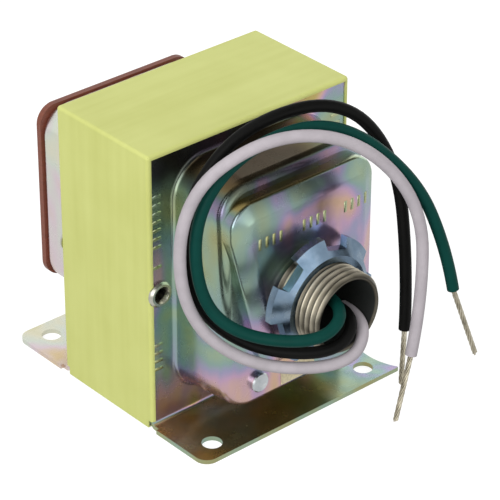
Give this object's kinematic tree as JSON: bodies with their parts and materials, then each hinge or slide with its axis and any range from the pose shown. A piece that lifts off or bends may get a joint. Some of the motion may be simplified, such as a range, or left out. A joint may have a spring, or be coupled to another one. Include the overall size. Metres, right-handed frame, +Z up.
{
  "type": "doorbell transformer",
  "caption": "Low-voltage chime transformer with drawn steel covers, taped laminated core, flanged feet, a conduit nipple with locknut and looped line leads.",
  "frame": {"origin": "centre of the mounting holes, on the underside of the feet", "axes": "+Z up from the mounting surface, -Y the way the conduit nipple points, +X to the right seen from the nipple"},
  "size_m": [0.0725, 0.1033, 0.0914],
  "materials": {
    "chromate_steel": "zinc plated, yellow iridescent chromate",
    "polyester_tape": "smooth satin tape",
    "silicon_steel": "bare sheared sheet edges",
    "nylon": "moulded, matt",
    "magnet_wire": "enamelled copper wire",
    "kraft_paper": "varnished paper",
    "rivet_steel": "zinc plated",
    "nipple_steel": "zinc plated, dull chromate",
    "zinc_steel": "bright clear zinc",
    "terminal_brass": "bare brass",
    "phenolic_board": "laminated phenolic sheet",
    "cream_label": "blank matt paper",
    "white_pvc": "extruded insulation",
    "green_pvc": "extruded insulation",
    "black_pvc": "extruded insulation",
    "tinned_copper": "twisted tinned strands"
  },
  "bodies": {
    "root": {"front_cover": "chromate_steel", "rear_cover": "chromate_steel", "core_wrap": "polyester_tape", "e_laminations": "silicon_steel", "i_laminations": "silicon_steel", "coil_bobbin": "nylon", "primary_winding": "magnet_wire", "secondary_winding": "magnet_wire", "primary_jacket": "kraft_paper", "secondary_jacket": "kraft_paper", "hollow_rivets": "rivet_steel", "conduit_nipple": "nipple_steel", "locknut": "zinc_steel", "terminal_board": "phenolic_board", "terminal_screws": "zinc_steel", "terminal_washers": "terminal_brass", "terminal_bushes": "nylon", "terminal_nuts": "terminal_brass", "board_rivets": "rivet_steel", "dome_rivet": "zinc_steel", "blank_label": "cream_label", "white_lead": "white_pvc", "white_bare_end": "tinned_copper", "green_lead": "green_pvc", "green_bare_end": "tinned_copper", "black_lead": "black_pvc", "black_bare_end": "tinned_copper"}
  },
  "joints": []
}
